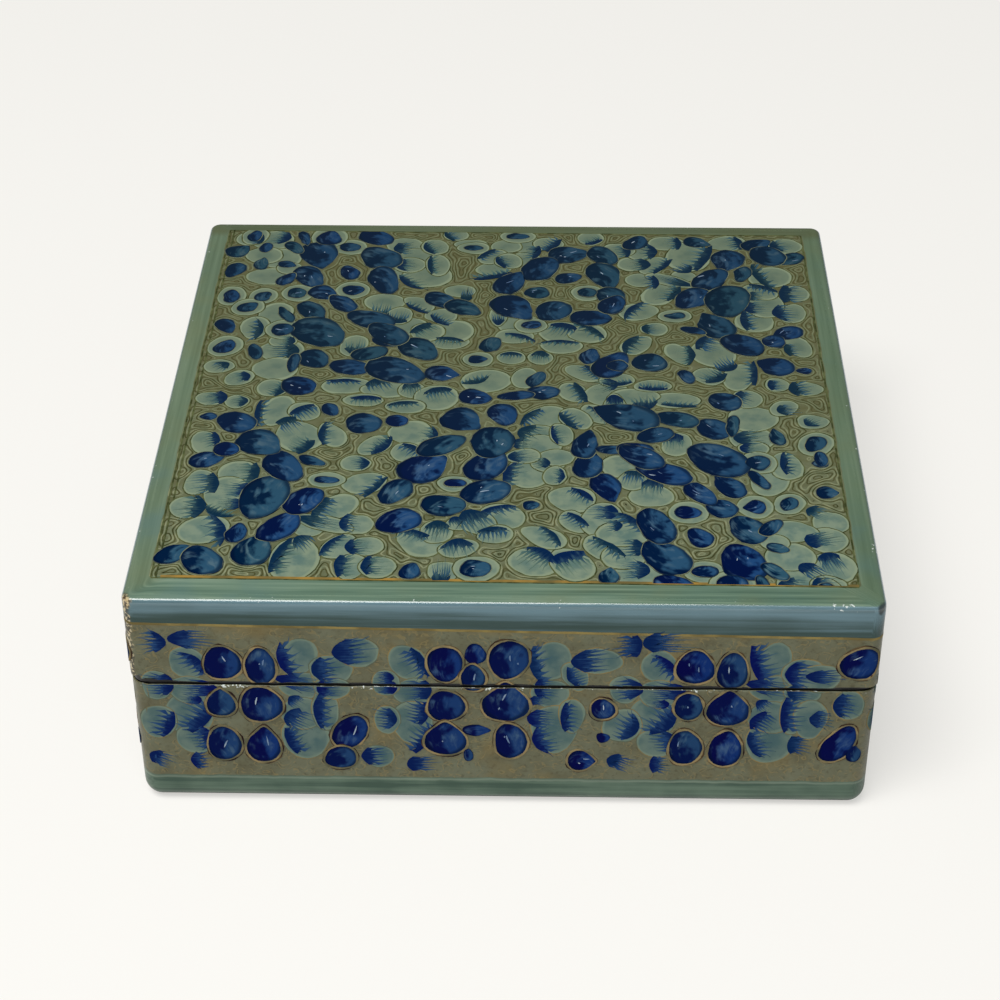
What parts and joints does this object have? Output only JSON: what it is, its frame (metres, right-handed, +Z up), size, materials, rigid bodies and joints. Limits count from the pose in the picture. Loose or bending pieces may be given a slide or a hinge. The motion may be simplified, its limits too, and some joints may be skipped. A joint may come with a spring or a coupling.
{
  "type": "lidded box",
  "caption": "Square lacquered papier mache keepsake box with a lift-off lid that slides down over locating strips inside the base.",
  "frame": {"origin": "middle of the underside, on the surface that the box stands on", "axes": "+Z up and the way the lid lifts, -Y out of the front face, +X to the right seen from the front"},
  "size_m": [0.112, 0.112, 0.04],
  "materials": {
    "lacquered_board": "satin",
    "locating_strip": "satin",
    "painted_skin": "gloss"
  },
  "bodies": {
    "base": {"base_floor_board": "lacquered_board", "base_front_wall": "lacquered_board", "base_back_wall": "lacquered_board", "base_left_wall": "lacquered_board", "base_right_wall": "lacquered_board", "base_front_strip": "locating_strip", "base_back_strip": "locating_strip", "base_left_strip": "locating_strip", "base_right_strip": "locating_strip", "base_gesso_skin": "painted_skin"},
    "lid": {"lid_top_board": "lacquered_board", "lid_front_wall": "lacquered_board", "lid_back_wall": "lacquered_board", "lid_left_wall": "lacquered_board", "lid_right_wall": "lacquered_board", "lid_gesso_skin": "painted_skin"}
  },
  "joints": [
    {"name": "lid_lift", "type": "slide", "parent": "base", "child": "lid", "axis": [0, 0, 1], "range_m": [0, 0.06]}
  ]
}
